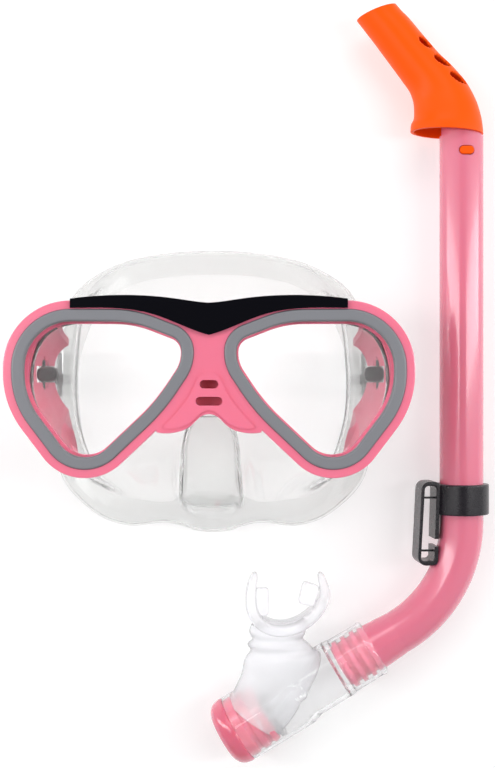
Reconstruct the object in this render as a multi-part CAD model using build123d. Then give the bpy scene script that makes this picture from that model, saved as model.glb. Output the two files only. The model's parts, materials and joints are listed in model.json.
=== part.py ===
from build123d import *
import os
from math import cos, radians, sin

# Two-lens junior diving mask with its J-shaped snorkel, laid flat side by side.
# Millimetres. +Z points out of the lenses, +Y towards the brow and the snorkel's top, +X towards
# the snorkel. The origin is the middle of the whole set's footprint, on the surface it lies on.

# ---- places of the two halves of the set
MASK_X = -19.2
TUBE_X = 87.8
ROW_SHIFT_Y = 0.35

# ---- mask: lens bezels and frame
BEZEL_FRONT = 70.0
BEZEL_BACK = 62.6
BEZEL_WIDTH = 4.7
BEZEL_LIP_BACK = 66.2
LENS_THICK = 3.2
LENS_TUCK = 3.3
FRAME_FRONT = 69.0
FRAME_LEDGE = 60.8
FRAME_BACK = 58.4
FRAME_RIM = 3.4
TRIM_FRONT = 70.6
WALL = 2.4

# ---- mask: side arms, buckles and strap
ARM_TIP_Z = 40.0
ARM_SWEEP = 12.9
PIN_X = 68.6
PIN_Y = 4.0
PIN_Z = 45.0
PIN_R = 0.8
PIN_LENGTH = 11.8
RUNNING_CLEARANCE = 0.06
KNOB_R = 2.5
KNOB_LENGTH = 6.2
BUCKLE_WIDTH = 26.0
BUCKLE_TOP = 37.0
BUCKLE_BACK = 17.6
CHEEK = 2.2
ROLLER_Z = 22.4
ROLLER_R = 2.6
AXLE_R = 1.3
STRAP_WIDTH = 19.0
STRAP_THICK = 1.5
STRAP_TURN_UP = 11.6

# ---- mask: skirt
RIM_R = 315.0
RIM_CENTRE_Z = 9.9
RIM_TOP = 12.5
SKIRT_WALL = 2.0
LIP_WIDTH = 11.5

# ---- snorkel
TUBE_R = 9.35
BORE_R = 7.75
TUBE_Z = 16.0
TUBE_TOP_Y = 112.0
BEND_START_Y = -59.2
BEND_R = 55.0
BEND_ANGLE = 59.0
TUBE_TAIL = 29.6
FLARE_R = 10.2
FLARE_LENGTH = 12.0
SLEEVE_R = 12.4
CHAMBER_R = 12.9
BARREL_R = 14.6
CHAMBER_WALL = 1.8
RIB_HEIGHT = 1.4
PLUG_BORE = 10.6
SLEEVE_LENGTH = 16.6
CHAMBER_LENGTH = 20.5
BARREL_LENGTH = 30.6
CAP_LENGTH = 5.9
PLUG_LENGTH = 15.0
KEEPER_Y = -49.3
KEEPER_LENGTH = 13.0
KEEPER_GAP = 0.35
KEEPER_R = 11.7
CLIP_DEPTH = 13.0
BUTTON_X = 0.8
BUTTON_Y = 99.1
GUARD_LEAN = 35.6
GUARD_WALL = 1.5
GUARD_R = 9.0
GUARD_TOP_X = -36.3
GUARD_TOP_Y = 159.7
GUARD_STRAIGHT = 12.0
RIM_SLANT = 21.0
SPIGOT_R = 8.6
SPIGOT_Y = 107.4
MOUTH_X = -75.0
NECK_X = -79.2
MOUTH_R = 9.0
NECK_TOP = -99.0
BARREL_START = CHAMBER_LENGTH
BARREL_END = CHAMBER_LENGTH + BARREL_LENGTH


def box(low, high):
    """Box between two corners."""
    size = [h - l for l, h in zip(low, high)]
    middle = [(h + l) / 2 for l, h in zip(low, high)]
    return Pos(*middle) * Box(*size)


def both(shape):
    """A shape together with its mirror image across the mask's middle."""
    return shape + mirror(shape, about=Plane.YZ)


def soften(part, edges, radius):
    """Round the edges, or leave them sharp where the round does not fit."""
    for size in (radius, radius * 0.6, radius * 0.3):
        try:
            rounded = fillet(edges, radius=size)
        except Exception:
            continue
        if rounded.is_valid and len(rounded.solids()) == len(part.solids()):
            return rounded
    return part


def slab(face, low, high):
    """A flat outline made solid between two heights."""
    return extrude(Pos(0, 0, low) * face, amount=high - low)


# ---------------------------------------------------------------- mask: frame, bezels and lenses

def lens_outline(grow=0.0):
    """Teardrop outline of the right lens's bezel, made larger or smaller all round."""
    corners = [(77.0, 29.3), (77.0, -6.8), (50.6, -41.7), (17.5, -10.5), (6.0, 6.8), (6.0, 20.2),
               (29.0, 29.1)]
    face = make_face(FilletPolyline(*corners, radius=[23, 33, 17, 80, 18, 11, 45], close=True))
    if grow:
        face = offset(face, amount=grow)
    return face


def make_bezel():
    """Clamping ring: a flat front lip with rounded edges, and a wall that holds the lens."""
    ring = slab(lens_outline(), BEZEL_BACK, BEZEL_FRONT)
    ring -= slab(lens_outline(-BEZEL_WIDTH), BEZEL_BACK - 1, BEZEL_FRONT + 1)
    ring -= slab(lens_outline(-LENS_TUCK), BEZEL_BACK - 1, BEZEL_LIP_BACK)
    front = ring.edges().filter_by(lambda e: abs(e.center().Z - BEZEL_FRONT) < 0.01)
    return soften(ring, front, 0.9)


def make_lens():
    """Flat tempered-glass lens, tucked behind the bezel's lip."""
    front = BEZEL_LIP_BACK - 0.05
    glass = slab(lens_outline(-LENS_TUCK - 0.05), BEZEL_LIP_BACK - LENS_THICK, front)
    rims = glass.edges().filter_by(lambda e: abs(e.center().Z - front) < 0.01)
    return chamfer(rims, length=0.3)


def mirrored_face(upper, lower):
    """Face between two splines that both start on the middle line, completed by its mirror image."""
    wire = [Spline(*upper), Line(upper[-1], lower[-1]), Spline(*lower), Line(lower[0], upper[0])]
    half = make_face(wire)
    return half + mirror(half, about=Plane.YZ)


def nose_piece():
    """Outline of the bridge between the lenses and the arch over the nose."""
    bridge = mirrored_face([(0, 31.4), (19.2, 33.6), (34.7, 34.2)], [(0, 10), (20, 10), (34.7, 26)])
    arch = mirrored_face([(0, 12), (12, 11), (20.6, -18.2)],
                         [(0, -11.8), (3.4, -12.9), (7.4, -16.6), (13, -18.9), (20.4, -18.9)])
    return bridge + arch


def bridge_slots():
    """The two stacked slots in the bridge: the narrow one above, the wide one below."""
    upper = Pos(0, -0.1, 60) * SlotOverall(7.2, 3.3)
    lower = Pos(0, -6.7, 60) * SlotOverall(10.4, 3.4)
    return extrude(upper, amount=12) + extrude(lower, amount=12)


def bridge_panel():
    """Raised A-shaped panel under the brow trim."""
    return mirrored_face([(0, 4.9), (3.6, 3.2), (6.6, -2.6), (10.6, -8.6), (17.6, -16.4)],
                         [(0, -10.2), (3.2, -11.4), (7.0, -14.9), (11.5, -17.0), (17.4, -17.2)])


def arm_shell(grow):
    """Closed tapered body under the lens outline: its side sweeps back and inwards."""
    wide = Pos(0, 0, FRAME_BACK) * lens_outline(grow)
    narrow = Pos(0, 0, ARM_TIP_Z) * lens_outline(grow - ARM_SWEEP)
    return loft([wide, narrow], ruled=True)


def make_arm():
    """Right side arm: a swept-back wall with a slot for the knuckle and saddles for the hinge pin."""
    arm = arm_shell(FRAME_RIM) - arm_shell(FRAME_RIM - WALL)
    tip = make_face(Plane.YZ * FilletPolyline(
        (-40, FRAME_BACK + 0.1), (-37, 52), (-20, ARM_TIP_Z - 1), (21, ARM_TIP_Z - 1), (29, 52),
        (30, FRAME_BACK + 0.1), radius=[1, 4, 4, 4, 4, 1], close=True))
    arm = arm & extrude(tip, amount=200, both=True) & box((47, -60, 0), (90, 60, 90))
    for side in (-1, 1):
        y = PIN_Y + side * 4.6
        arm += box((PIN_X - 1.8, y - 1.1, PIN_Z - 2.4), (PIN_X + 5.6, y + 1.1, PIN_Z + 0.1))
    arm -= box((PIN_X - 7.0, PIN_Y - 3.4, PIN_Z - 9), (PIN_X + 3.0, PIN_Y + 3.4, PIN_Z + 3.2))
    arm -= Pos(PIN_X, PIN_Y, PIN_Z) * Rot(90, 0, 0) * Cylinder(PIN_R, 30)
    arm -= skirt_body(-0.4)
    return arm.solids().sort_by(SortBy.VOLUME)[-1]


def make_frame():
    """Pink main frame: pockets for lenses and bezels, nose piece, end blocks and side arms."""
    plan = lens_outline(FRAME_RIM)
    plan = plan + mirror(plan, about=Plane.YZ) + nose_piece()
    frame = slab(plan, FRAME_BACK, FRAME_FRONT)
    rim = frame.edges().filter_by(lambda e: abs(e.center().Z - FRAME_FRONT) < 0.01)
    frame = soften(frame, rim, 1.6)
    frame += both(make_arm())
    frame += slab(bridge_panel(), FRAME_FRONT - 1, FRAME_FRONT + 0.7)
    pocket = slab(lens_outline(0.12), BEZEL_BACK, BEZEL_FRONT + 2)
    seat = slab(lens_outline(-0.6), FRAME_LEDGE, BEZEL_BACK + 0.1)
    window = slab(lens_outline(-5.4), FRAME_BACK - 1, FRAME_LEDGE + 0.1)
    frame -= both(pocket + seat + window)
    return frame - bridge_slots()


def make_trim():
    """Glossy brow strip: a shallow V whose lower point reaches down between the lenses."""
    plan = mirrored_face([(0, 31.6), (4.5, 32.0), (12, 33.1), (22, 34.2), (34.7, 34.6), (54, 33.2)],
                         [(0, 19.1), (5.4, 20.8), (13, 23.9), (20, 26.6), (28, 28.6), (38, 29.6), (54, 29.6)])
    strip = slab(plan, FRAME_FRONT + 0.02, TRIM_FRONT)
    return strip - both(slab(lens_outline(0.3), FRAME_FRONT - 1, TRIM_FRONT + 1))


# ---------------------------------------------------------------- mask: skirt

def skirt_section(side_x, top_y, bottom_y, cheek_x, radii):
    """Rounded six-cornered section of the skirt at one height."""
    corners = [(side_x, top_y), (side_x, (top_y + bottom_y) * 0.55 - 12), (cheek_x, bottom_y),
               (-cheek_x, bottom_y), (-side_x, (top_y + bottom_y) * 0.55 - 12), (-side_x, top_y)]
    rounds = [radii[0], radii[1], radii[2], radii[2], radii[1], radii[0]]
    return make_face(FilletPolyline(*corners, radius=rounds, close=True))


def skirt_body(inset):
    """Closed body of the skirt between the frame and the rim, drawn in by inset."""
    front = skirt_section(71.0 - inset, 24.0 - inset, -36.0 + inset, 48 - inset, (16, 22, 12))
    waist = skirt_section(57.6 - inset, 44.0 - inset, -48.0 + inset, 44 - inset, (20, 22, 12))
    turn = skirt_section(60.5 - inset, 54.0 - inset, -58.0 + inset, 44 - inset, (26, 24, 13))
    rim = skirt_section(70.5 - inset, 59.0 - inset, -62.5 + inset, 47 - inset, (34, 26, 14))
    heights = (FRAME_LEDGE + 0.6, 35.0, 21.0, RIM_TOP)
    shape = loft([Pos(0, 0, z) * face for z, face in zip(heights, (front, waist, turn, rim))])
    return shape + slab(rim, -1, RIM_TOP)


def rim_cylinder(extra=0.0):
    """Big cylinder, level with the brow, that the face rim is curved round."""
    return Pos(0, 0, RIM_CENTRE_Z - RIM_R) * Rot(90, 0, 0) * Cylinder(RIM_R + extra, 200)


def make_skirt():
    """Silicone skirt: curved wall, turned-in sealing lip and the finger pocket over the nose."""
    outer = skirt_body(0)
    inner = skirt_body(SKIRT_WALL)
    opening = slab(skirt_section(70.5 - LIP_WIDTH, 59 - LIP_WIDTH, -62.5 + LIP_WIDTH, 40, (24, 18, 12)),
                   -5, 40)
    lip = (outer & rim_cylinder(SKIRT_WALL)) - opening
    nose_shape = make_face(Plane.YZ * FilletPolyline(
        (-12, 57), (-42, 50), (-57, 26), (-60, 8), (-12, 8), radius=[6, 12, 8, 0.5, 0.5], close=True))
    nose = extrude(nose_shape, amount=13.5, both=True)
    nose_hollow_shape = offset(nose_shape, amount=-SKIRT_WALL)
    nose_hollow = extrude(nose_hollow_shape, amount=13.5 - SKIRT_WALL, both=True)
    nose_hollow += box((-11.5, -57, -2), (11.5, -14, 24))
    shell = (outer - inner) + lip
    shell -= nose
    shell = shell + (nose - nose_hollow)
    shell -= slab(skirt_section(68, 21, -33, 45, (14, 20, 10)), 50, 70)
    shell -= rim_cylinder()
    seats = slab(lens_outline(-0.7), FRAME_LEDGE + 0.02, BEZEL_BACK - 0.02)
    seats -= slab(lens_outline(-6.5), 50, 70)
    neck = slab(lens_outline(-5.6), FRAME_BACK - 3, FRAME_LEDGE + 0.3) - slab(lens_outline(-7.4), 50, 70)
    shell -= slab(skirt_section(90, 60, -70, 70, (5, 5, 5)), FRAME_BACK - 3.2, 75)
    deck = slab(skirt_section(70.0, 24, -36, 47, (16, 22, 12)), FRAME_BACK - 4.6, FRAME_BACK - 2.6)
    deck -= both(slab(lens_outline(-7.4), 40, 70))
    deck -= both(arm_shell(FRAME_RIM + 1) - arm_shell(FRAME_RIM - WALL - 0.4))
    return shell + both(seats + neck) + deck


# ---------------------------------------------------------------- mask: buckles and strap

def make_pin():
    """Hinge pin through the arm's two lugs and the knuckle."""
    return Pos(PIN_X, PIN_Y, PIN_Z) * Rot(90, 0, 0) * Cylinder(PIN_R, PIN_LENGTH)


def make_knob():
    """Black knuckle that turns on the pin, with its tongue down to the buckle."""
    half = KNOB_LENGTH / 2
    outline = make_face(Plane.XY * FilletPolyline(
        (PIN_X + KNOB_R, PIN_Y - half), (PIN_X + KNOB_R, PIN_Y + half), (PIN_X - 5.5, PIN_Y + half),
        (PIN_X - 5.5, PIN_Y - half), radius=2.4, close=True))
    knob = slab(outline, PIN_Z - KNOB_R, PIN_Z + KNOB_R)
    knob = soften(knob, knob.edges().group_by(Axis.Z)[-1], 1.6)
    knob += box((PIN_X - 4.6, PIN_Y - 2.6, BUCKLE_TOP), (PIN_X - 1.0, PIN_Y + 2.6, PIN_Z))
    return knob - Pos(PIN_X, PIN_Y, PIN_Z) * Rot(90, 0, 0) * Cylinder(PIN_R + RUNNING_CLEARANCE, 30)


def make_buckle():
    """Clear strap buckle: two cheeks, a web below the knuckle and a toothed cross bar."""
    half = BUCKLE_WIDTH / 2
    top_z = BUCKLE_TOP
    side = make_face(Plane.XZ * FilletPolyline(
        (61.4, top_z), (62.4, 24), (65.4, BUCKLE_BACK), (72.6, BUCKLE_BACK), (73.6, 24), (68.5, top_z),
        radius=[1.5, 5, 3, 3, 5, 1.5], close=True))
    cheeks = Pos(0, PIN_Y - half + CHEEK, 0) * extrude(side, amount=CHEEK)
    cheeks += Pos(0, PIN_Y + half, 0) * extrude(side, amount=CHEEK)
    web = box((62.2, PIN_Y - half, top_z - 6.0), (68.2, PIN_Y + half, top_z - 0.02))
    bar = box((70.6, PIN_Y - half, 27.6), (72.6, PIN_Y + half, 30.0))
    buckle = cheeks + web + bar
    buckle -= box((PIN_X - 12, -0.6, top_z - 5.0), (66.4, 4.2, top_z + 1))
    axle = Pos(PIN_X, PIN_Y, ROLLER_Z) * Rot(90, 0, 0) * Cylinder(AXLE_R, BUCKLE_WIDTH + 2)
    return buckle - axle


def make_latch():
    """Release latch that slides in the buckle's web."""
    top_z = BUCKLE_TOP
    latch = box((58.6, -0.3, top_z - 4.7), (65.3, 3.9, top_z - 0.4))
    return soften(latch, latch.edges().filter_by(Axis.Z), 0.8)


def make_roller():
    """Roller with its axle stubs in the two cheeks."""
    inside = BUCKLE_WIDTH - 2 * CHEEK - 0.8
    roller = Cylinder(ROLLER_R, inside) + Cylinder(AXLE_R - RUNNING_CLEARANCE, BUCKLE_WIDTH - 0.6)
    return Pos(PIN_X, PIN_Y, ROLLER_Z) * Rot(90, 0, 0) * roller


def make_strap_end():
    """Strap end: a flat loop round the roller, with its free tail beside it."""
    gap = ROLLER_R + 0.35
    ring = Pos(PIN_X, PIN_Y, ROLLER_Z) * Rot(90, 0, 0) * (
        Cylinder(gap + STRAP_THICK, STRAP_WIDTH) - Cylinder(gap, STRAP_WIDTH + 2))
    ring -= box((PIN_X - 9, PIN_Y - 20, ROLLER_Z - 12), (PIN_X + 9, PIN_Y + 20, ROLLER_Z))
    for side, length in ((-1, 2.6), (1, 9.4)):
        middle = PIN_X + side * (gap + STRAP_THICK / 2)
        ring += box((middle - STRAP_THICK / 2, PIN_Y - STRAP_WIDTH / 2, ROLLER_Z - length),
                    (middle + STRAP_THICK / 2, PIN_Y + STRAP_WIDTH / 2, ROLLER_Z))
    return ring


def make_strap():
    """Head strap, folded flat on the surface under the mask, turned up at both ends."""
    reach = PIN_X + ROLLER_R + 0.35 + STRAP_THICK / 2
    path = FilletPolyline((reach, STRAP_TURN_UP), (reach, STRAP_THICK / 2), (-reach, STRAP_THICK / 2),
                          (-reach, STRAP_TURN_UP), radius=3.0)
    band = make_face(Plane.XZ * offset(path, amount=STRAP_THICK / 2, side=Side.BOTH))
    return Pos(0, PIN_Y + STRAP_WIDTH / 2, 0) * extrude(band, amount=STRAP_WIDTH)


# ---------------------------------------------------------------- snorkel

def tube_path():
    """Centre line of the J: straight down from the top, then a bend and the tail."""
    corner = BEND_R * sin(radians(BEND_ANGLE)) / (1 + cos(radians(BEND_ANGLE)))
    turn = Vector(0, BEND_START_Y - corner, 0)
    tail = turn + tail_direction() * (corner + TUBE_TAIL)
    return FilletPolyline((0, TUBE_TOP_Y, 0), turn, tail, radius=BEND_R)


def tail_direction():
    """Direction of the tube's lower end and of the whole chamber."""
    return Vector(-sin(radians(BEND_ANGLE)), -cos(radians(BEND_ANGLE)), 0)


def tail_plane(along):
    """Plane across the chamber's axis, a distance along it from the tube's lower end."""
    corner = BEND_R * sin(radians(BEND_ANGLE)) / (1 + cos(radians(BEND_ANGLE)))
    end = Vector(0, BEND_START_Y - corner, 0) + tail_direction() * (corner + TUBE_TAIL)
    return Plane(origin=end + tail_direction() * along, x_dir=(0, 0, 1), z_dir=tail_direction())


def barrel(radius, low, high, bore=0.0):
    """Round length on the chamber's axis between two places, with an optional bore."""
    body = extrude(tail_plane(low) * Circle(radius), amount=high - low)
    if bore:
        body -= extrude(tail_plane(low - 1) * Circle(bore), amount=high - low + 2)
    return body


def swept(radius):
    """Round bar along the whole J."""
    start = Plane(origin=(0, TUBE_TOP_Y, 0), z_dir=(0, -1, 0))
    return sweep(start * Circle(radius), path=tube_path())


def make_tube():
    """Pink J tube with ribs on the part that goes into the chamber."""
    tube = swept(TUBE_R)
    flare_start = -SLEEVE_LENGTH - FLARE_LENGTH
    tube += loft([tail_plane(flare_start) * Circle(TUBE_R), tail_plane(-SLEEVE_LENGTH) * Circle(FLARE_R)])
    tube += barrel(FLARE_R, -SLEEVE_LENGTH, -SLEEVE_LENGTH + 2.0)
    for rib in range(3):
        low = -SLEEVE_LENGTH + 4.2 + rib * 4.4
        tube += barrel(TUBE_R + RIB_HEIGHT, low, low + 2.0)
    tube -= swept(BORE_R)
    step = Pos(0, SPIGOT_Y + 9, 0) * Rot(90, 0, 0) * (Cylinder(TUBE_R + 5, 20) - Cylinder(SPIGOT_R, 22))
    tube -= step
    window = Pos(BUTTON_X, BUTTON_Y, 0) * SlotOverall(6.7, 4.1)
    return tube - extrude(window, amount=TUBE_R + 3)


def guard_direction():
    """Direction of the guard's leaning upper tube."""
    return Vector(-sin(radians(GUARD_LEAN)), cos(radians(GUARD_LEAN)), 0)


def cross_section(left, right, depth, grow):
    """Ellipse that spans two points of the guard's outline and has the given half depth along Z."""
    low, high = Vector(*left, 0), Vector(*right, 0)
    across = (high - low).normalized()
    plane = Plane(origin=(low + high) * 0.5, x_dir=across, z_dir=Vector(-across.Y, across.X, 0))
    return plane * Ellipse((high - low).length / 2 + grow, depth + grow)


def guard_solid(grow):
    """Outer shape of the guard, made larger by grow: wide mouth, gill hump, then a leaning tube."""
    top = Vector(GUARD_TOP_X, GUARD_TOP_Y, 0)
    start = top - guard_direction() * GUARD_STRAIGHT
    across = Vector(guard_direction().Y, -guard_direction().X, 0) * GUARD_R
    low, high = start - across, start + across
    sections = [((-21.8, SPIGOT_Y), (9.3, SPIGOT_Y), 13.4), ((-20.4, 114.8), (8.2, 114.8), 12.6),
                ((-20.4, 118.6), (6.2, 121.8), 11.8), ((-21.0, 122.4), (2.2, 129.0), 10.8),
                ((-22.6, 126.4), (-3.6, 136.1), 10.0), ((-25.6, 130.8), (-9.5, 141.8), 9.5),
                ((-30.0, 137.2), (-15.6, 148.2), 9.1), ((low.X, low.Y), (high.X, high.Y), GUARD_R)]
    belly = loft([cross_section(a, b, depth, grow) for a, b, depth in sections])
    plane = Plane(origin=start, x_dir=(0, 0, 1), z_dir=guard_direction())
    return belly + extrude(plane * Circle(GUARD_R + grow), amount=GUARD_STRAIGHT + 8)


def gill(number):
    """Cutter for one drain slot on the side away from the wearer."""
    x, y = -14.4 + number * 6.6, 146.6 - number * 7.4
    return Pos(x, y, 0) * Rot(0, 0, -32) * Box(8.4, 2.0, 9.4)


def make_guard():
    """Orange splash guard: hollow, open below beside the tube, with three drain slots."""
    guard = guard_solid(0) - guard_solid(-GUARD_WALL)
    above = Pos(GUARD_TOP_X, GUARD_TOP_Y, 0) * Rot(0, 0, RIM_SLANT) * Pos(0, 20, 0) * Box(80, 40, 60)
    guard -= above
    for number in range(3):
        guard -= gill(number)
    collar = Pos(0, TUBE_TOP_Y - 1, 0) * Rot(90, 0, 0) * Cylinder(SPIGOT_R + 1.2, 7)
    spigot = Pos(0, TUBE_TOP_Y - 1, 0) * Rot(90, 0, 0) * Cylinder(SPIGOT_R, 30)
    guard += collar & guard_solid(-0.3)
    return guard - spigot - Pos(0, SPIGOT_Y - 10, 0) * Box(30, 20, 40)


def make_button():
    """Snap button on a short stem that stands in the tube's oval window."""
    head = Pos(BUTTON_X, BUTTON_Y, TUBE_R - 1.8) * extrude(SlotOverall(6.1, 3.5), amount=2.3)
    head = soften(head, head.edges().group_by(Axis.Z)[-1], 0.5)
    stem = box((BUTTON_X - 1.2, BUTTON_Y - 1.4, BORE_R - 3.0), (BUTTON_X + 1.2, BUTTON_Y + 1.4, TUBE_R - 1.4))
    tongue = box((BUTTON_X - 2.6, BUTTON_Y - 1.7, BORE_R - 3.4),
                 (BUTTON_X + 2.6, BUTTON_Y + 1.7, BORE_R - 2.2))
    return head + stem + tongue


def make_keeper_band():
    """Black ring that slides on the tube."""
    band = Cylinder(KEEPER_R, KEEPER_LENGTH)
    band = soften(band, band.edges(), 0.6) - Cylinder(TUBE_R + KEEPER_GAP, KEEPER_LENGTH + 2)
    return Pos(0, KEEPER_Y, 0) * Rot(90, 0, 0) * band


def make_keeper_clip():
    """Black hook for the mask strap: a tall narrow loop with a way in at its lower side."""
    outline = make_face(FilletPolyline((-18.4, -41.6), (-10.2, -41.6), (-11.4, -77.3), (-20.2, -77.3),
                                       radius=[3.6, 2.6, 2.6, 3.6], close=True))
    slot = make_face(FilletPolyline((-17.0, -43.4), (-12.0, -43.4), (-13.0, -75.4), (-18.8, -75.4),
                                    radius=[1.7, 1.7, 1.6, 1.6], close=True))
    clip = extrude(outline - slot, amount=CLIP_DEPTH / 2, both=True)
    clip -= box((-14.8, -69.2, -8), (-8.0, -66.0, 8))
    rims = clip.edges().group_by(Axis.Z)
    clip = soften(clip, rims[-1] + rims[0], 0.5)
    for y, low_x, high_x in ((-48.6, -17.6, -11.8), (-71.2, -18.8, -12.6)):
        clip += box((low_x, y - 0.4, 2.0), (high_x, y + 0.4, 3.4))
    clip = Pos(-14.4, 0, 0) * Rot(0, 5, 0) * Pos(14.4, 0, 0) * clip
    band_room = Pos(0, KEEPER_Y, 0) * Rot(90, 0, 0) * Cylinder(KEEPER_R, KEEPER_LENGTH)
    return clip - band_room - swept(TUBE_R + 0.5)


# ---------------------------------------------------------------- snorkel: chamber and mouthpiece

def neck_bar(radius, low_y, high_y):
    """Upright bar of the neck that carries the mouthpiece."""
    return Pos(NECK_X, (low_y + high_y) / 2, 0) * Rot(90, 0, 0) * Cylinder(radius, high_y - low_y)


def make_chamber():
    """Clear elbow: sleeve over the tube's end, body, purge barrel and the stub for the mouthpiece."""
    gap = 0.3
    outer = barrel(SLEEVE_R, -SLEEVE_LENGTH, 1) + barrel(CHAMBER_R, 0, BARREL_START + 1)
    outer += barrel(BARREL_R, BARREL_START, BARREL_END)
    outer += neck_bar(MOUTH_R, -130, NECK_TOP - 8)
    inner = barrel(TUBE_R + RIB_HEIGHT + gap, -SLEEVE_LENGTH - 1, 0.4)
    inner += barrel(BORE_R + 1.0, 0, 2)
    inner += barrel(CHAMBER_R - CHAMBER_WALL, 1.9, BARREL_START + CHAMBER_WALL + 0.5)
    inner += barrel(BARREL_R - CHAMBER_WALL, BARREL_START + CHAMBER_WALL, BARREL_END + 1)
    inner += neck_bar(MOUTH_R - 1.6, -136, NECK_TOP - 7)
    return outer - inner


def make_mouthpiece():
    """Silicone mouthpiece: neck over the stub, curved bite plate and its two bite tabs."""
    neck = neck_bar(MOUTH_R + 2.1, NECK_TOP - 17, NECK_TOP - 2) - neck_bar(MOUTH_R + 0.05, -140, NECK_TOP - 2)
    arc_face = Circle(18.2) - Circle(13.9)
    plate = extrude(Pos(MOUTH_X, -84.6, 0) * arc_face, amount=11, both=True)
    plate -= box((MOUTH_X - 30, -80.4, -20), (MOUTH_X + 30, -60, 20))
    throat = neck_bar(6.4, -120, -90)
    link = neck_bar(9.4, NECK_TOP - 5, NECK_TOP - 1)
    body = neck + link + plate
    for side in (-1, 1):
        x = MOUTH_X + side * 9.6
        tab = box((x - 3.8, -99.5, -2.4), (x + 3.8, -86.4, 2.4))
        tab -= box((x - 1.4, -91.2, -3), (x + 1.4, -89.4, 3)) + box((x - 1.4, -94.2, -3), (x + 1.4, -92.4, 3))
        body += tab
    return body - throat - neck_bar(MOUTH_R + 0.05, -140, NECK_TOP - 4.9)


def make_purge_cap():
    """Pink end cap: a rounded end, and a grooved plug inside the clear barrel, with water slots."""
    cap = barrel(BARREL_R, BARREL_END, BARREL_END + CAP_LENGTH)
    end_plane = tail_plane(BARREL_END + CAP_LENGTH)
    cap = soften(cap, cap.edges().sort_by_distance(end_plane.origin)[0], 4.5)
    plug_r = BARREL_R - CHAMBER_WALL - 0.05
    plug = barrel(plug_r, BARREL_END - PLUG_LENGTH, BARREL_END + 1)
    for groove in (3.6, 8.4):
        low = BARREL_END - PLUG_LENGTH + groove
        plug -= barrel(plug_r + 1, low, low + 1.6, bore=plug_r - 0.9)
    cap = cap + plug - barrel(PLUG_BORE, BARREL_END - PLUG_LENGTH - 1, BARREL_END + CAP_LENGTH - 2.0)
    for turn in range(6):
        slot = Pos(0, 0, CAP_LENGTH) * Rot(0, 0, 60 * turn) * Pos(7.2, 0, 0) * Box(5.0, 2.2, 12)
        cap -= tail_plane(BARREL_END) * slot
    return cap


def make_valve_seat():
    """Spoked ring that the flap valve rests on."""
    low = BARREL_END - PLUG_LENGTH - 2.2
    ring = barrel(BARREL_R - CHAMBER_WALL - 0.05, low, low + 2.0, bore=9.0)
    hub = barrel(2.6, low, low + 2.0)
    for turn in range(4):
        spoke = Pos(0, 0, low + 1.0) * Rot(0, 0, 90 * turn) * Pos(6.0, 0, 0) * Box(8.2, 1.6, 2.0)
        ring += tail_plane(0) * spoke
    return ring + hub - barrel(0.9, low - 1, low + 3)


def make_purge_valve():
    """Round silicone flap with its stem through the seat's hub and a retaining bulb below."""
    low = BARREL_END - PLUG_LENGTH - 0.15
    flap = barrel(9.9, low, low + 0.8)
    return flap + barrel(0.8, low - 4.6, low + 0.4) + barrel(1.5, low - 5.0, low - 3.8)


def write(name, shape, place):
    """Move a piece to its place in the set and write its STEP file."""
    export_step(place * shape, f"parts/{name}.step")


def main():
    """Build every piece and write one STEP file each."""
    os.makedirs("parts", exist_ok=True)
    mask = Pos(MASK_X, ROW_SHIFT_Y, 0)
    snorkel = Pos(TUBE_X, ROW_SHIFT_Y, TUBE_Z)
    for name, make in (("mask_frame", make_frame), ("brow_trim", make_trim), ("skirt", make_skirt),
                       ("strap", make_strap)):
        write(name, make(), mask)
    for name, make in (("lens_bezel", make_bezel), ("lens", make_lens), ("buckle_pin", make_pin),
                       ("swivel_knob", make_knob), ("buckle", make_buckle), ("latch_button", make_latch),
                       ("strap_roller", make_roller), ("strap_end", make_strap_end)):
        right = make()
        write(name + "_right", right, mask)
        write(name + "_left", mirror(right, about=Plane.YZ), mask)
    for name, make in (("snorkel_tube", make_tube), ("splash_guard", make_guard),
                       ("guard_button", make_button), ("keeper_band", make_keeper_band),
                       ("keeper_clip", make_keeper_clip), ("chamber", make_chamber),
                       ("mouthpiece", make_mouthpiece), ("purge_cap", make_purge_cap),
                       ("valve_seat", make_valve_seat), ("purge_valve", make_purge_valve)):
        write(name, make(), snorkel)


main()
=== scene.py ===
import json
from math import cos, pi, radians, sin, tan

import bmesh
import bpy
import numpy as np
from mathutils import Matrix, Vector


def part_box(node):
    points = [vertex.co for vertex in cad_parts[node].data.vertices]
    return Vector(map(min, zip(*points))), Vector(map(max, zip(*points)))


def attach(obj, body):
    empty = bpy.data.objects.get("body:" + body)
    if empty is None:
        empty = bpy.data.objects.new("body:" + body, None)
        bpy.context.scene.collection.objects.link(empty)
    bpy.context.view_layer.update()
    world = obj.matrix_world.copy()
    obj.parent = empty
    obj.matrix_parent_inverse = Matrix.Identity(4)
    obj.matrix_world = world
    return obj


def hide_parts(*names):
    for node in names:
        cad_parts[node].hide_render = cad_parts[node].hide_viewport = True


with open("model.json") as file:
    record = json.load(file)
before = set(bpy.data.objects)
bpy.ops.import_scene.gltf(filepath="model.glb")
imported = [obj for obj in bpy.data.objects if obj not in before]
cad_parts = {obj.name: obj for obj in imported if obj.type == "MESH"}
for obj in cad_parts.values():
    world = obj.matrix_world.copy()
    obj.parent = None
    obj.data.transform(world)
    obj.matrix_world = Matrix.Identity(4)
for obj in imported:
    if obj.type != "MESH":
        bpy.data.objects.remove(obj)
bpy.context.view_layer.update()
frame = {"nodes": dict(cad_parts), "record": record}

# Places come from the frame: the mask's middle, the tube's axis and the line of the chamber.
MM = 0.001
TRIM_LOW, TRIM_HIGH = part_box("brow_trim")
TUBE_LOW, TUBE_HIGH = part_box("snorkel_tube")
BEZEL_LOW, BEZEL_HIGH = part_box("lens_bezel_right")
MASK_X = (TRIM_LOW.x + TRIM_HIGH.x) / 2 / MM
BEZEL_RISE = 29.2
MASK_Y = BEZEL_HIGH.y / MM - BEZEL_RISE
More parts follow.
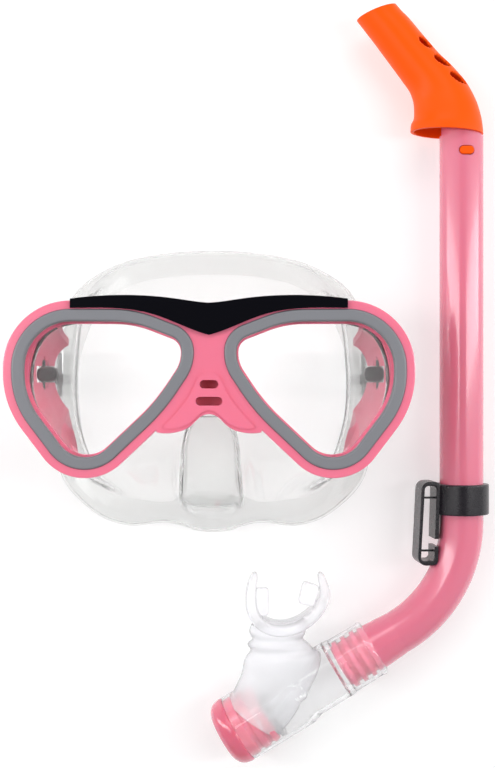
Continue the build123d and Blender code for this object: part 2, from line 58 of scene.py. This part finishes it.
TUBE_R = 9.35
TUBE_X = TUBE_HIGH.x / MM - TUBE_R
TUBE_Z = (TUBE_LOW.z + TUBE_HIGH.z) / 2 / MM
TAIL_ANGLE = radians(59)
TAIL = np.array([-sin(TAIL_ANGLE), -cos(TAIL_ANGLE), 0])
SIDE = np.array([cos(TAIL_ANGLE), -sin(TAIL_ANGLE), 0])
BEND_R = 55
BEND_START_Y = -59.2
TUBE_TAIL = 29.6
BEND = BEND_R * tan(TAIL_ANGLE / 2)
SNORKEL = np.array([TUBE_X, MASK_Y, TUBE_Z])
TAIL_END = SNORKEL + (0, BEND_START_Y - BEND, 0) + TAIL * (BEND + TUBE_TAIL)

# Walls and bands of the soft and thin pieces, in mm.
SKIRT_WALL = 1.8
POCKET_WALL = 1.4
MOUTH_WALL = 1.5
GUARD_WALL = 1.5
STRAP_WIDTH = 18.9
STRAP_THICK = 1.3
STRAP_END_THICK = 1.2
STRAP_Y = 4.0
PLATE_HEIGHT, PLATE_THICK = 11.2, 5.0
TAB_HEIGHT = 4.4
GILL_HALF_WIDTH = 1.9
EDGE_ROUNDING = 0.22
TRIM_ROUNDING = 0.5


# ------------------------------------------------------------------ node helpers

def link(tree, a, b):
    tree.links.new(a, b)


def group(name, inputs, outputs):
    """An empty shader group with named inputs (name, kind, value) and outputs (name, kind)."""
    tree = bpy.data.node_groups.new(name, "ShaderNodeTree")
    for label, kind, value in inputs:
        socket = tree.interface.new_socket(label, in_out="INPUT", socket_type=kind)
        socket.default_value = value
    for label, kind in outputs:
        tree.interface.new_socket(label, in_out="OUTPUT", socket_type=kind)
    source = tree.nodes.new("NodeGroupInput")
    sink = tree.nodes.new("NodeGroupOutput")
    return tree, source, sink


def math(tree, operation, a, b):
    """A Math node; a and b are sockets or numbers."""
    node = tree.nodes.new("ShaderNodeMath")
    node.operation = operation
    for socket, value in zip(node.inputs, (a, b)):
        if isinstance(value, (int, float)):
            socket.default_value = value
        else:
            link(tree, value, socket)
    return node.outputs[0]


def moulded_surface():
    """Moulded plastic: flow-line colour drift, pores and fine scratches, on Object coordinates."""
    tree, source, sink = group(
        "moulded_surface",
        [("Colour", "NodeSocketColor", (0.8, 0.8, 0.8, 1)), ("Drift", "NodeSocketFloat", 0.05),
         ("Roughness", "NodeSocketFloat", 0.3), ("Haze", "NodeSocketFloat", 0.08),
         ("Pore size", "NodeSocketFloat", 2500.0)],
        [("Colour", "NodeSocketColor"), ("Roughness", "NodeSocketFloat"), ("Height", "NodeSocketFloat")])
    place = tree.nodes.new("ShaderNodeTexCoord").outputs["Object"]
    broad = tree.nodes.new("ShaderNodeTexNoise")
    broad.inputs["Scale"].default_value = 38
    broad.inputs["Detail"].default_value = 3
    link(tree, place, broad.inputs["Vector"])
    pores = tree.nodes.new("ShaderNodeTexNoise")
    pores.inputs["Detail"].default_value = 2
    link(tree, place, pores.inputs["Vector"])
    link(tree, source.outputs["Pore size"], pores.inputs["Scale"])
    scuffs = tree.nodes.new("ShaderNodeTexNoise")
    scuffs.inputs["Scale"].default_value = 260
    scuffs.inputs["Detail"].default_value = 4
    scuffs.inputs["Distortion"].default_value = 2.5
    link(tree, place, scuffs.inputs["Vector"])
    swing = math(tree, "SUBTRACT", broad.outputs["Fac"], 0.5)
    shade = math(tree, "MULTIPLY_ADD", swing, source.outputs["Drift"])
    shade.node.inputs[2].default_value = 1.0
    tint = tree.nodes.new("ShaderNodeVectorMath")
    tint.operation = "SCALE"
    link(tree, source.outputs["Colour"], tint.inputs[0])
    link(tree, shade, tint.inputs["Scale"])
    link(tree, tint.outputs[0], sink.inputs["Colour"])
    rub = math(tree, "SUBTRACT", scuffs.outputs["Fac"], 0.5)
    rough = math(tree, "MULTIPLY_ADD", rub, source.outputs["Haze"])
    link(tree, source.outputs["Roughness"], rough.node.inputs[2])
    link(tree, rough, sink.inputs["Roughness"])
    link(tree, math(tree, "ADD", pores.outputs["Fac"], math(tree, "MULTIPLY", scuffs.outputs["Fac"], 0.4)),
         sink.inputs["Height"])
    return tree


MOULDED = moulded_surface()


def material(name, colour, drift, rough, haze, pores, depth, **sockets):
    """A Principled material over the moulded_surface group; other sockets are set by name."""
    mat = bpy.data.materials.new(name)
    mat.use_nodes = True
    tree = mat.node_tree
    shader = tree.nodes["Principled BSDF"]
    skin = tree.nodes.new("ShaderNodeGroup")
    skin.node_tree = MOULDED
    skin.inputs["Colour"].default_value = (*colour, 1)
    skin.inputs["Drift"].default_value = drift
    skin.inputs["Roughness"].default_value = rough
    skin.inputs["Haze"].default_value = haze
    skin.inputs["Pore size"].default_value = pores
    bump = tree.nodes.new("ShaderNodeBump")
    bump.inputs["Strength"].default_value = depth
    bump.inputs["Distance"].default_value = 0.0002
    link(tree, skin.outputs["Height"], bump.inputs["Height"])
    link(tree, skin.outputs["Colour"], shader.inputs["Base Color"])
    link(tree, skin.outputs["Roughness"], shader.inputs["Roughness"])
    link(tree, bump.outputs["Normal"], shader.inputs["Normal"])
    for key, value in sockets.items():
        shader.inputs[key.replace("_", " ")].default_value = value
    mat.diffuse_color = (*colour, 1)
    return mat


def clear(name, colour, rough, ior, milk=0.0, edge_shade=0.6, haze=0.02, depth=0.02, pores=900):
    """Clear silicone or plastic: transmission, a share of milky white, and painted shade that darkens the
    colour at grazing edges.
    """
    mat = material(name, colour, 0.01, rough, haze, pores, depth, IOR=ior)
    tree = mat.node_tree
    shader = tree.nodes["Principled BSDF"]
    shader.inputs["Transmission Weight"].default_value = 1.0 - milk
    # Painted shade: the colour is darkened towards grazing angles, standing in for the dark rims that clear
    # walls show.
    rim = tree.nodes.new("ShaderNodeLayerWeight")
    rim.inputs["Blend"].default_value = 0.5
    painted_edge_shade = math(tree, "MULTIPLY", math(tree, "POWER", rim.outputs["Facing"], 5.0), edge_shade)
    keep = math(tree, "SUBTRACT", 1.0, painted_edge_shade)
    tint = tree.nodes.new("ShaderNodeVectorMath")
    tint.operation = "SCALE"
    link(tree, shader.inputs["Base Color"].links[0].from_socket, tint.inputs[0])
    link(tree, keep, tint.inputs["Scale"])
    link(tree, tint.outputs[0], shader.inputs["Base Color"])
    return mat


def see_through_shadow(mat, share):
    """Let part of the light straight through for shadow rays, as thin clear walls do."""
    tree = mat.node_tree
    shader = tree.nodes["Principled BSDF"]
    sink = tree.nodes["Material Output"]
    path = tree.nodes.new("ShaderNodeLightPath")
    through = tree.nodes.new("ShaderNodeBsdfTransparent")
    blend = tree.nodes.new("ShaderNodeMixShader")
    link(tree, math(tree, "MULTIPLY", path.outputs["Is Shadow Ray"], share), blend.inputs[0])
    link(tree, shader.outputs[0], blend.inputs[1])
    link(tree, through.outputs[0], blend.inputs[2])
    link(tree, blend.outputs[0], sink.inputs["Surface"])


def materials():
    """Every finish of the set, by the record's slot names."""
    pink = material("pink_frame", (0.88, 0.195, 0.30), 0.10, 0.24, 0.08, 1400, 0.04,
                    Coat_Weight=0.35, Coat_Roughness=0.08, Subsurface_Weight=0.12, Subsurface_Scale=0.003)
    tube = material("pink_tube", (0.76, 0.19, 0.28), 0.10, 0.24, 0.10, 1800, 0.05,
                    Coat_Weight=0.5, Coat_Roughness=0.10, Subsurface_Weight=0.15, Subsurface_Scale=0.004)
    black = material("black_gloss", (0.002, 0.002, 0.004), 0.1, 0.12, 0.05, 900, 0.01,
                     Specular_IOR_Level=0.22)
    grey = material("bezel_grey", (0.205, 0.208, 0.228), 0.06, 0.44, 0.08, 2600, 0.10)
    orange = material("guard_orange", (1.0, 0.100, 0.0), 0.06, 0.40, 0.10, 1600, 0.05,
                      Specular_IOR_Level=0.15)
    keeper = material("keeper_black", (0.010, 0.008, 0.012), 0.2, 0.28, 0.12, 1500, 0.06)
    pin = material("pin_black", (0.014, 0.010, 0.014), 0.2, 0.34, 0.12, 1500, 0.06)
    cap = material("cap_pink", (0.90, 0.20, 0.30), 0.10, 0.16, 0.06, 1200, 0.03,
                   Subsurface_Weight=0.4, Subsurface_Scale=0.005, Coat_Weight=0.3, Transmission_Weight=0.25)
    # The edge values set the strength of each finish's painted shade at grazing edges.
    silicone = clear("clear_silicone", (0.90, 0.905, 0.90), 0.07, 1.33, milk=0.05, edge_shade=0.95)
    mouth = clear("mouth_silicone", (0.95, 0.95, 0.965), 0.12, 1.15, milk=0.34, edge_shade=0.75)
    # Painted light: the pocket's finish is a lighter copy of the skirt's clear silicone, with weaker painted
    # edge shade, lifting the shade on its walls.
    pocket = clear("pocket_silicone", (0.97, 0.972, 0.97), 0.10, 1.10, milk=0.06, edge_shade=0.6)
    strap = clear("strap_silicone", (0.99, 0.99, 0.99), 0.01, 1.05, edge_shade=0.1, haze=0.0, depth=0.0)
    plastic = clear("clear_plastic", (0.95, 0.95, 0.955), 0.03, 1.30, milk=0.05, edge_shade=0.8)
    glass = clear("lens_glass", (0.985, 0.99, 0.99), 0.0, 1.10, edge_shade=0.0, haze=0.0, depth=0.0)
    for mat, share in ((silicone, 0.75), (mouth, 0.7), (pocket, 0.9), (strap, 0.95),
                       (plastic, 0.85), (glass, 0.95)):
        see_through_shadow(mat, share)
    return {m.name: m for m in (pink, tube, black, grey, orange, keeper, pin, cap, silicone,
                               mouth, pocket, strap, plastic, glass)}


# ------------------------------------------------------------------ mesh helpers

def grid_mesh(name, points, close_u=False, close_v=False, holes=None):
    """A quad surface from an array of points [u, v, 3] in mm, closed round in u or v where asked.

    holes, where given, takes the quads' middles and says which of them are left out. Faces are
    turned outwards at the end."""
    nu, nv = points.shape[:2]
    u = np.arange(nu if close_u else nu - 1)
    v = np.arange(nv if close_v else nv - 1)
    a, b = np.meshgrid(u, v, indexing="ij")
    a2, b2 = (a + 1) % nu, (b + 1) % nv
    quads = np.stack([a * nv + b, a2 * nv + b, a2 * nv + b2, a * nv + b2], -1).reshape(-1, 4)
    if holes is not None:
        quads = quads[~holes(points.reshape(-1, 3)[quads].mean(1))]
    mesh = bpy.data.meshes.new(name)
    mesh.from_pydata((points.reshape(-1, 3) * MM).tolist(), [], quads.tolist())
    shape = bmesh.new()
    shape.from_mesh(mesh)
    bmesh.ops.recalc_face_normals(shape, faces=shape.faces)
    shape.to_mesh(mesh)
    shape.free()
    mesh.polygons.foreach_set("use_smooth", np.ones(len(mesh.polygons), bool))
    mesh.update()
    piece = bpy.data.objects.new(name, mesh)
    bpy.context.scene.collection.objects.link(piece)
    return piece


def put(piece, body, slot_name, *nodes, finish=None):
    """Give a piece its material, its body and the CAD nodes that it stands for."""
    piece.data.materials.clear()
    piece.data.materials.append(FINISH[finish or slot_name])
    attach(piece, body)
    if nodes:
        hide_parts(*nodes)
    return piece


def spline_weights(count, samples, closed):
    """Catmull-Rom weights: each sample is a blend of the four control rows about it."""
    spans = count if closed else count - 1
    t = np.linspace(0, spans, samples, endpoint=not closed)
    start = np.minimum(np.floor(t).astype(int), spans - 1)
    f = t - start
    parts = [-0.5 * f + f**2 - 0.5 * f**3, 1 - 2.5 * f**2 + 1.5 * f**3,
             0.5 * f + 2 * f**2 - 1.5 * f**3, -0.5 * f**2 + 0.5 * f**3]
    weights = np.zeros((samples, count))
    for offset, part in zip((-1, 0, 1, 2), parts):
        rows = (start + offset) % count if closed else np.clip(start + offset, 0, count - 1)
        np.add.at(weights, (np.arange(samples), rows), part)
    return weights


def squarish(values, power):
    """Cosines or sines drawn towards a square: sign(v) * |v|**power."""
    return np.sign(values) * np.abs(values)**power


def thicken(piece, wall):
    """Give an open surface its wall, inwards from the outer face."""
    solid = piece.modifiers.new("wall", "SOLIDIFY")
    solid.thickness = wall * MM
    solid.offset = -1


def rounded(corners, segments=4):
    """A polyline with each corner (a, b, radius) replaced by a short quadratic curve."""
    points = []
    spots = np.array([corner[:2] for corner in corners], float)
    for index, corner in enumerate(corners):
        radius = corner[2]
        here, before, after = spots[index], spots[index - 1], spots[(index + 1) % len(spots)]
        if radius == 0:
            points.append(here)
            continue
        start = here + (before - here) * min(radius / np.linalg.norm(before - here), 0.49)
        end = here + (after - here) * min(radius / np.linalg.norm(after - here), 0.49)
        for t in np.linspace(0, 1, segments + 1):
            points.append((1 - t)**2 * start + 2 * t * (1 - t) * here + t**2 * end)
    return np.array(points)


def lathe(name, corners, turns=96):
    """Profile (t, r) turned about the chamber's axis: P = end + t*TAIL + r*(cos a * SIDE + sin a * Z)."""
    profile = rounded(corners)
    angle = np.linspace(0, 2 * pi, turns, endpoint=False)
    spoke = np.cos(angle)[:, None] * SIDE + np.sin(angle)[:, None] * np.array([0, 0, 1])
    radius = np.repeat(profile[:, 1][:, None], turns, axis=1)
    points = TAIL_END + profile[:, 0][:, None, None] * TAIL + radius[:, :, None] * spoke
    return grid_mesh(name, points, close_u=True, close_v=True)


def loft(name, sections, rows, turns=72, holes=None):
    """Ellipses (left, right, depth) in a row, splined lengthwise: P = middle + half*cos a + depth*Z*sin a."""
    angle = np.linspace(0, 2 * pi, turns, endpoint=False)
    rings = []
    for left, right, depth in sections:
        low, high = np.array([*left, 0.0]), np.array([*right, 0.0])
        ring = (low + high) / 2 + np.cos(angle)[:, None] * (high - low) / 2
        ring = ring + np.sin(angle)[:, None] * np.array([0, 0, depth])
        rings.append(ring)
    points = np.einsum("si,ijk->sjk", spline_weights(len(rings), rows, False), np.array(rings))
    return grid_mesh(name, points + SNORKEL, close_v=True, holes=holes)


def ribbon(name, line, height, thick, rows=120, turns=40):
    """A curved plate: a squarish closed section swept along a splined line in the XY plane.

    P = line(u) + normal(u) * thick/2 * c(a) + Z * height(u) * s(a), c and s being cos and sin
    drawn towards a square, and height(u) falling off at the two ends."""
    path = spline_weights(len(line), rows, False) @ np.array(line, float)
    step = np.gradient(path, axis=0)
    step /= np.linalg.norm(step, axis=1)[:, None]
    normal = np.stack([step[:, 1], -step[:, 0]], -1)
    angle = np.linspace(0, 2 * pi, turns, endpoint=False)
    c = squarish(np.cos(angle), 0.5)
    z = squarish(np.sin(angle), 0.6)
    u = np.linspace(-1, 1, rows)
    taper = np.maximum(1 - np.abs(u)**8, 0.02)**0.5
    points = np.zeros((rows, turns, 3))
    points[:, :, :2] = path[:, None] + normal[:, None] * c[None, :, None] * (thick / 2 * taper)[:, None, None]
    points[:, :, 2] = z[None, :] * (height * np.maximum(1 - np.abs(u)**3.2, 0.004)**0.42)[:, None]
    return grid_mesh(name, points + SNORKEL, close_v=True)


# ------------------------------------------------------------------ skirt

def skirt_net():
    """Control net of the skirt: rings from the lens deck to the lip's edge, right half of each."""
    deck = [(0, 23, 58), (22, 25.5, 58), (46, 26, 58), (64, 22, 58), (71, 8, 58), (70, -8, 58), (62, -24, 58),
            (50, -34, 58), (37, -30, 58), (25, -17, 58), (15, -9.5, 58), (7, -8, 58), (0, -8, 58)]
    brow = [(0, 33, 50), (22, 34, 50), (45, 33, 50), (60, 26, 50), (65, 9, 50), (64.5, -9, 50), (58, -26, 50),
            (48, -39, 49), (34, -38, 48), (20, -30, 49), (13.5, -32, 51), (7, -35, 52), (0, -36, 52)]
    waist = [(0, 46, 36), (22, 45, 36), (42, 42, 36), (54, 31, 36), (57.5, 10, 36), (57.5, -10, 36),
             (53, -28, 36), (45, -43, 35), (32, -48, 33), (20, -44, 34), (14, -46, 38), (7.5, -50, 40),
             (0, -51, 40)]
    turn = [(0, 54.5, 21), (22, 53.5, 21), (42, 49, 21), (56, 35, 20), (61, 11, 18), (61, -12, 18),
            (57, -33, 18), (48, -51, 18), (34, -57, 18), (21, -54, 20), (14, -54, 23), (7.5, -57.5, 24),
            (0, -58.5, 24)]
    rim = [(0, 57.2, 12), (23.7, 55.6, 11), (44.5, 49.8, 9.5), (61, 38.2, 7), (70.3, 12, 5), (70, -12, 5),
           (66.5, -40, 6), (52, -55.5, 8), (37, -61.2, 9), (22, -60.2, 10), (14, -61.2, 11), (7.5, -63, 12),
           (0, -63.7, 12)]
    lip = [(0, 47.8, 9.4), (20, 46.3, 9.0), (38, 41.6, 8), (50.5, 31, 5.8), (58.6, 10, 4.2), (58.6, -11, 4.2),
           (54.5, -34, 5), (43, -46, 7.2), (31, -50, 8.6), (20, -50.5, 9.6), (13, -49, 10.5),
           (7, -49, 11), (0, -50, 11)]
    return [deck, brow, waist, turn, rim, lip]


def make_skirt():
    """Skirt: the control net, mirrored across the middle and splined both ways, then given its wall."""
    rings = []
    for ring in skirt_net():
        right = np.array(ring, float)
        left = right[-2:0:-1] * (-1, 1, 1)
        rings.append(np.concatenate([right, left]))
    net = np.array(rings)
    across = spline_weights(net.shape[0], 60, False)
    round_ = spline_weights(net.shape[1], 288, True)
    points = np.einsum("si,ijk,tj->stk", across, net, round_)
    points += (MASK_X, MASK_Y, 0)
    piece = grid_mesh("skirt_shell", points, close_v=True)
    thicken(piece, SKIRT_WALL)
    put(piece, "mask", "clear_silicone", "skirt")


def make_nose_pocket():
    """Finger pocket over the nose: rounded box sections (y, half width, low z, high z) splined along Y.

    P = (w * c(a), y, middle + half * s(a)), c and s being cos and sin to the power 0.45."""
    sections = np.array([
        (-13, 7.0, 40, 52), (-18, 10.0, 36, 55), (-25, 11.6, 33, 55), (-34, 12.2, 30, 53.5),
        (-39.5, 12.4, 27, 51.5), (-43.5, 12.6, 24, 47.5), (-47.5, 12.8, 21, 40),
        (-51.0, 12.0, 18, 31), (-52.6, 9.5, 18, 25)], float)
    rows = spline_weights(len(sections), 70, False) @ sections
    angle = np.linspace(0, 2 * pi, 96, endpoint=False)
    c = squarish(np.cos(angle), 0.45)
    z = squarish(np.sin(angle), 0.45)
    points = np.zeros((len(rows), len(angle), 3))
    points[:, :, 0] = rows[:, 1:2] * c
    points[:, :, 1] = rows[:, :1]
    points[:, :, 2] = (rows[:, 2:3] + rows[:, 3:]) / 2 + (rows[:, 3:] - rows[:, 2:3]) / 2 * z
    piece = grid_mesh("nose_pocket", points + (MASK_X, MASK_Y, 0), close_v=True)
    thicken(piece, POCKET_WALL)
    # The pocket takes the lighter copy of the skirt's silicone: painted light that lifts its shade.
    put(piece, "mask", "clear_silicone", finish="pocket_silicone")


# ------------------------------------------------------------------ strap

def band(name, path, rows, width, thick, turns=48):
    """Flat strap: a flattened closed section with two edge beads, swept along a splined (x, z) line.

    P = line(u) + normal(u) * thick/2 * c(a) * (1 + bead) + Y * width/2 * s(a), with a bead of 0.25
    near the edges."""
    line = spline_weights(len(path), rows, False) @ np.array(path, float)
    step = np.gradient(line, axis=0)
    step /= np.linalg.norm(step, axis=1)[:, None]
    normal = np.stack([-step[:, 1], step[:, 0]], -1)
    angle = np.linspace(0, 2 * pi, turns, endpoint=False)
    c = squarish(np.cos(angle), 0.35)
    y = squarish(np.sin(angle), 0.7)
    c = c * (1 + 0.25 * np.exp(-((np.abs(y) - 0.86) / 0.07)**2))
    points = np.zeros((rows, turns, 3))
    points[:, :, 0] = line[:, :1] + normal[:, :1] * c[None, :] * thick / 2
    points[:, :, 2] = line[:, 1:] + normal[:, 1:] * c[None, :] * thick / 2
    points[:, :, 1] = y[None, :] * width / 2 + STRAP_Y
    return grid_mesh(name, points + (MASK_X, MASK_Y, 0), close_v=True)


def make_strap():
    """Head strap lying under the mask, and the two short ends that loop over the buckle rollers."""
    half = [(20, 0.8), (45, 0.8), (62, 0.85), (68.5, 1.8), (71.6, 5.0), (72.2, 8.5), (72.3, 12.2)]
    path = [(-x, z) for x, z in reversed(half)] + [(0, 0.8)] + half
    strap = band("head_strap", path, 160, STRAP_WIDTH, STRAP_THICK)
    put(strap, "mask", "clear_silicone", "strap", finish="strap_silicone")
    for name, k in (("left", -1), ("right", 1)):
        loop = [(64.9, 14.0), (64.7, 18), (64.9, 22.4), (66.2, 25.1), (68.6, 26.0), (71.0, 25.1),
                (72.3, 22.4), (72.4, 18), (72.3, 13.2)]
        turned = [(x * k, z) for x, z in loop]
        end = band("strap_loop_" + name, turned, 70, STRAP_WIDTH, STRAP_END_THICK)
        put(end, "buckle_" + name, "clear_silicone", "strap_end_" + name)


# ------------------------------------------------------------------ mouthpiece and chamber

def make_mouthpiece():
    """Silicone mouthpiece: curved bite plate, two bite tabs, and a folded body over the chamber's neck."""
    plate = ribbon("mouthpiece_plate", [
        (-88.6, -80.9), (-90.3, -88), (-90.3, -95), (-88.3, -100), (-84, -103.6), (-78.4, -105.0),
        (-71.8, -103.9), (-66, -100.6), (-61.4, -95.8), (-58.9, -89.5), (-61.0, -80.9)],
        PLATE_HEIGHT, PLATE_THICK)
    body = loft("mouthpiece_body", [
        ((-90.4, -103.4), (-66.3, -102.9), 8.6), ((-91.2, -106.6), (-67.2, -107.0), 9.8),
        ((-90.1, -109.4), (-68.0, -109.4), 9.7), ((-92.0, -111.8), (-65.8, -111.4), 11.4),
        ((-90.8, -114.4), (-63.8, -113.6), 10.9), ((-93.2, -118.2), (-60.4, -116.0), 12.6),
        ((-94.6, -124.6), (-61.4, -123.0), 13.0), ((-97.6, -131.0), (-66.4, -133.2), 13.4),
        ((-99.4, -134.4), (-72.6, -143.4), 13.8), ((-100.2, -136.0), (-78.6, -150.6), 14.3)], 90)
    thicken(body, MOUTH_WALL)
    tabs = []
    for name, line, wide in (
            ("bite_tab_outer", [(-86.2, -87.6), (-86.0, -91), (-86.0, -95.5), (-86.2, -99.6)], 6.6),
            ("bite_tab_inner", [(-64.4, -85.6), (-65.2, -88), (-66.0, -91), (-66.9, -95.0)], 7.4)):
        tabs.append(ribbon(name, line, TAB_HEIGHT, wide, rows=50, turns=40))
    for piece in (plate, body, *tabs):
        put(piece, "mouth", "clear_silicone", finish="mouth_silicone")
    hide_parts("mouthpiece")


def make_chamber():
    """Clear plastic chamber: beaded sleeve, body and barrel in one turned wall."""
    shell = lathe("chamber_shell", [
        (-16.9, 10.9, 0.3), (-16.9, 12.0, 0.9), (-15.2, 12.7, 0.6), (-13.9, 12.2, 0.5), (-1.0, 12.4, 0.8),
        (0.4, 12.9, 0.8), (17.5, 13.0, 1.2), (20.0, 14.3, 1.2), (23.0, 14.5, 1), (50.6, 14.7, 0.3),
        (51.1, 14.4, 0.3), (51.1, 13.6, 0.3), (36, 13.5, 1), (22.5, 12.7, 1), (19.6, 11.2, 1),
        (2.2, 11.0, 0.8), (1.6, 8.8, 0.4), (-0.2, 8.8, 0.4), (-0.4, 11.1, 0.4), (-16.6, 11.0, 0.3)])
    put(shell, "mouth", "clear_plastic", "chamber")


def gills(middles):
    """True for quads inside one of the three leaf-shaped drain slots on the guard's upper half."""
    x, y, z = (middles - SNORKEL).T
    inside = np.zeros(len(x), bool)
    for low, high in (((-19.2, 147.4), (-13.2, 143.4)), ((-12.9, 139.8), (-5.6, 135.6)),
                      ((-6.2, 132.3), (1.4, 128.1))):
        middle = (np.array(low) + high) / 2
        along = np.array(high) - low
        half = np.linalg.norm(along) / 2
        along = along / (2 * half)
        p = (x - middle[0]) * along[0] + (y - middle[1]) * along[1]
        q = -(x - middle[0]) * along[1] + (y - middle[1]) * along[0]
        leaf = GILL_HALF_WIDTH * np.sqrt(np.clip(1 - (p / half)**2, 0, 1))
        inside |= (np.abs(p) < half) & (np.abs(q) < leaf)
    return inside & (z > 0)


def make_guard():
    """Orange splash guard: slanted open rim, leaning tube, gill hump and a wide open mouth."""
    guard = loft("splash_guard_shell", [
        ((-44.9, 156.4), (-28.0, 162.8), 8.9), ((-41.6, 152.1), (-25.6, 160.0), 8.9),
        ((-37.5, 146.8), (-22.6, 157.0), 9.0), ((-31.4, 138.6), (-16.9, 150.2), 9.2),
        ((-25.6, 130.7), (-9.8, 142.0), 9.6), ((-22.3, 126.0), (-3.8, 136.2), 10.2),
        ((-20.7, 121.6), (2.1, 129.2), 11.0), ((-20.3, 117.6), (6.1, 121.8), 12.0),
        ((-20.5, 114.0), (8.2, 115.2), 12.7), ((-21.6, 111.6), (9.0, 110.6), 13.3),
        ((-21.9, 108.6), (9.3, 107.2), 13.5)], 170, turns=150, holes=gills)
    thicken(guard, GUARD_WALL)
    put(guard, "snorkel", "guard_orange", "splash_guard")


def make_cap():
    """Translucent pink end cap: a grooved plug inside the barrel, a rounded rim, and a flat end face."""
    cap = lathe("purge_cap_shell", [
        (37.0, 10.6, 0.3), (37.0, 12.4, 0.5), (39.4, 13.2, 0.5), (40.2, 12.3, 0.4), (41.6, 12.3, 0.4),
        (42.2, 13.3, 0.4), (44.4, 13.3, 0.4), (45.2, 12.4, 0.4), (46.6, 12.4, 0.4), (47.2, 13.4, 0.4),
        (51.2, 13.4, 0.2), (51.3, 14.5, 0.4), (52.6, 14.8, 1.0), (56.4, 14.0, 3.4), (58.6, 11.0, 2.6),
        (58.5, 9.8, 0.3), (57.6, 9.2, 0.4), (55.6, 9.8, 0.6), (53.5, 11.4, 1.0), (50.0, 10.6, 1.0)])
    put(cap, "mouth", "cap_pink", "purge_cap")
    face = lathe("purge_cap_face", [
        (57.4, 9.9, 0.3), (58.0, 6.0, 1.0), (58.3, 0.05, 0), (56.6, 0.05, 0), (56.3, 6.0, 1.0),
        (56.0, 9.9, 0.3)])
    put(face, "mouth", "cap_pink")


# ------------------------------------------------------------------ scene

def make_stage():
    """White table top."""
    mesh = bpy.data.meshes.new("table_top")
    half = 3.0
    level = -0.0004
    corners = [(-half, -half, level), (half, -half, level), (half, half, level), (-half, half, level)]
    mesh.from_pydata(corners, [], [(0, 1, 2, 3)])
    floor = bpy.data.objects.new("table_top", mesh)
    bpy.context.scene.collection.objects.link(floor)
    mat = bpy.data.materials.new("table_white")
    mat.use_nodes = True
    shader = mat.node_tree.nodes["Principled BSDF"]
    shader.inputs["Base Color"].default_value = (0.62, 0.62, 0.62, 1)
    shader.inputs["Roughness"].default_value = 1.0
    shader.inputs["Specular IOR Level"].default_value = 0.0
    shader.inputs["Emission Color"].default_value = (1, 1, 1, 1)
    shader.inputs["Emission Strength"].default_value = 0.44
    mesh.materials.append(mat)


def area_light(name, place, aim, size, power):
    """Soft square light that faces a point."""
    data = bpy.data.lights.new(name, "AREA")
    data.shape = "RECTANGLE"
    data.size, data.size_y = size
    data.energy = power
    lamp = bpy.data.objects.new(name, data)
    lamp.location = place
    lamp.rotation_euler = (Vector(aim) - Vector(place)).to_track_quat("-Z", "Y").to_euler()
    bpy.context.scene.collection.objects.link(lamp)


def make_light_and_camera():
    """Even white surroundings, two long soft boxes at the sides, and a camera straight above."""
    world = bpy.data.worlds.new("studio")
    bpy.context.scene.world = world
    world.use_nodes = True
    tree = world.node_tree
    place = tree.nodes.new("ShaderNodeTexCoord")
    split = tree.nodes.new("ShaderNodeSeparateXYZ")
    link(tree, place.outputs["Generated"], split.inputs[0])
    high = math(tree, "POWER", math(tree, "MAXIMUM", split.outputs["Z"], 0.0), 6.0)
    background = tree.nodes["Background"]
    background.inputs["Color"].default_value = (1, 1, 1, 1)
    strength = math(tree, "SUBTRACT", 0.50, math(tree, "MULTIPLY", high, 0.34))
    link(tree, strength, background.inputs["Strength"])
    area_light("left_strip", (-0.8, 0.1, 0.55), (0, 0, 0), (0.18, 1.6), 6.5)
    area_light("right_strip", (0.85, 0.1, 0.5), (0.05, 0, 0), (0.16, 1.6), 6.5)
    area_light("brow_box", (0.0, 0.9, 1.0), (0, 0, 0), (1.2, 0.4), 4.5)
    camera = bpy.data.cameras.new("camera")
    camera.sensor_width = 36
    camera.lens = 61.03
    camera.clip_start = 0.01
    eye = bpy.data.objects.new("camera", camera)
    eye.location = (-0.0042, 0.00035, 0.576)
    bpy.context.scene.collection.objects.link(eye)
    bpy.context.scene.camera = eye
    bpy.context.scene.view_settings.view_transform = "Standard"
    bpy.context.scene.view_settings.look = "None"


# Every CAD node gets the finish of its slot and softly rounded edges.
for plain in list(bpy.data.materials):
    bpy.data.materials.remove(plain)
FINISH = materials()
for entry in frame["record"]["subparts"]:
    node = frame["nodes"][entry["node"]]
    node.data.materials.clear()
    node.data.materials.append(FINISH[entry["material_slot"]])
    edges = node.modifiers.new("edges", "BEVEL")
    edges.width = (TRIM_ROUNDING if entry["node"] == "brow_trim" else EDGE_ROUNDING) * MM
    edges.segments = 2
    edges.limit_method = "ANGLE"
    edges.angle_limit = radians(40)
    edges.harden_normals = True

# The soft and thin-walled pieces are remade as smooth surfaces.
make_skirt()
make_nose_pocket()
make_strap()
make_mouthpiece()
make_chamber()
make_guard()
make_cap()
make_stage()
make_light_and_camera()
